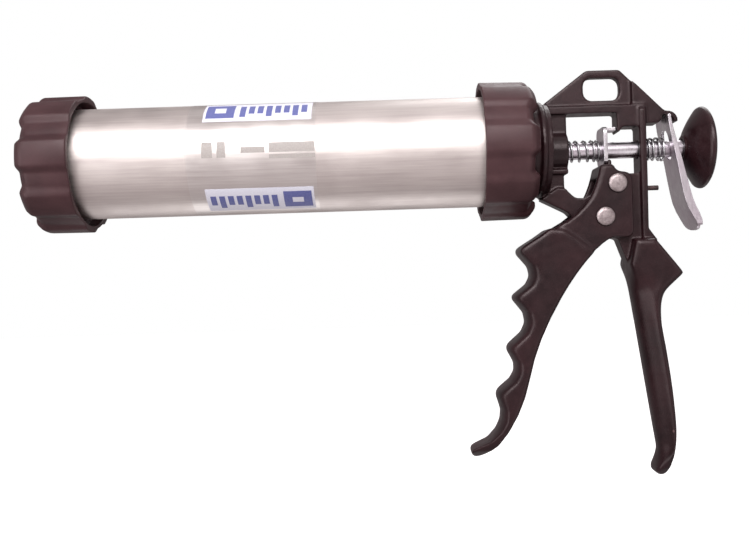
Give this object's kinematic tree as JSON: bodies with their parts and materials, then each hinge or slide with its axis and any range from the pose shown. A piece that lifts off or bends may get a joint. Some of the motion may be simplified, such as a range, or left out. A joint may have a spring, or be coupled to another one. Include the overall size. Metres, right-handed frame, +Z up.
{
  "type": "caulking gun",
  "caption": "Closed-barrel caulking gun with screwed end caps, a cast hand grip and squeeze trigger, a push rod with piston, a thumb release lever and a hanging slot.",
  "frame": {"origin": "middle of the upper face of the hanging slot, in the gun's middle plane", "axes": "+X along the barrel from the nozzle end to the pull knob, +Z up from the grips to the hanging slot, +Y across the gun"},
  "size_m": [0.3249, 0.067, 0.1974],
  "materials": {
    "casting": "dark plum-brown paint over a die casting, semi-gloss",
    "moulding": "moulded, dark plum-brown, semi-gloss",
    "tube": "satin drawn tube",
    "zinc_steel": "bright zinc plate",
    "spring_steel": "bright wire",
    "rivet_steel": "pale, lightly worn",
    "nylon": "natural white"
  },
  "bodies": {
    "frame": {"frame_casting": "casting", "collar_retaining_disc": "zinc_steel", "release_stop_peg": "zinc_steel", "return_spring": "spring_steel", "release_spring": "spring_steel"},
    "rear_collar": {"rear_collar": "moulding"},
    "barrel": {"barrel_tube": "tube"},
    "cap_ring": {"cap_seal_ring": "nylon"},
    "front_cap": {"front_cap": "moulding"},
    "trigger": {"trigger_casting": "casting", "trigger_pivot_rivet": "rivet_steel", "trigger_stop_rivet": "rivet_steel"},
    "drive_plate": {"drive_plate": "zinc_steel"},
    "release_lever": {"release_lever": "zinc_steel"},
    "rod": {"push_rod": "zinc_steel", "piston_back_washer": "zinc_steel", "piston_cup": "nylon", "piston_front_washer": "zinc_steel", "piston_nut": "zinc_steel", "pull_knob": "moulding", "knob_screw": "rivet_steel"}
  },
  "joints": [
    {"name": "rear_collar_turn", "type": "hinge", "parent": "frame", "child": "rear_collar", "pos_m": [-0.04725, 0, -0.0343], "axis": [1, 0, 0], "range_deg": [0, 1080]},
    {"name": "barrel_travel", "type": "slide", "parent": "frame", "child": "barrel", "axis": [-1, 0, 0], "range_m": [0, 0.0121]},
    {"name": "cap_travel", "type": "slide", "parent": "barrel", "child": "cap_ring", "axis": [-1, 0, 0], "range_m": [0, 0.0121]},
    {"name": "front_cap_turn", "type": "hinge", "parent": "cap_ring", "child": "front_cap", "pos_m": [-0.26325, 0, -0.0343], "axis": [-1, 0, 0], "range_deg": [0, 1080]},
    {"name": "trigger_squeeze", "type": "hinge", "parent": "frame", "child": "trigger", "pos_m": [0.00445, 0, -0.0521], "axis": [0, -1, 0], "range_deg": [0, 22], "stiffness_Nm_per_rad": 0.5, "springref_deg": -28.65},
    {"name": "drive_plate_travel", "type": "slide", "parent": "frame", "child": "drive_plate", "axis": [-1, 0, 0], "range_m": [0, 0.005], "deforming": ["return_spring"]},
    {"name": "release_press", "type": "hinge", "parent": "frame", "child": "release_lever", "pos_m": [0.03005, 0, -0.0204], "axis": [0, 1, 0], "range_deg": [0, 13], "stiffness_Nm_per_rad": 0.15, "springref_deg": -17.19, "deforming": ["release_spring"]},
    {"name": "rod_pull", "type": "slide", "parent": "frame", "child": "rod", "axis": [1, 0, 0], "range_m": [0, 0.2]}
  ],
  "couplings": [
    {"joint": "barrel_travel", "follows": "rear_collar_turn", "m_per_rad": 0.00063662},
    {"joint": "cap_travel", "follows": "front_cap_turn", "m_per_rad": 0.00063662},
    {"joint": "drive_plate_travel", "follows": "trigger_squeeze", "m_per_rad": 0.0125}
  ]
}
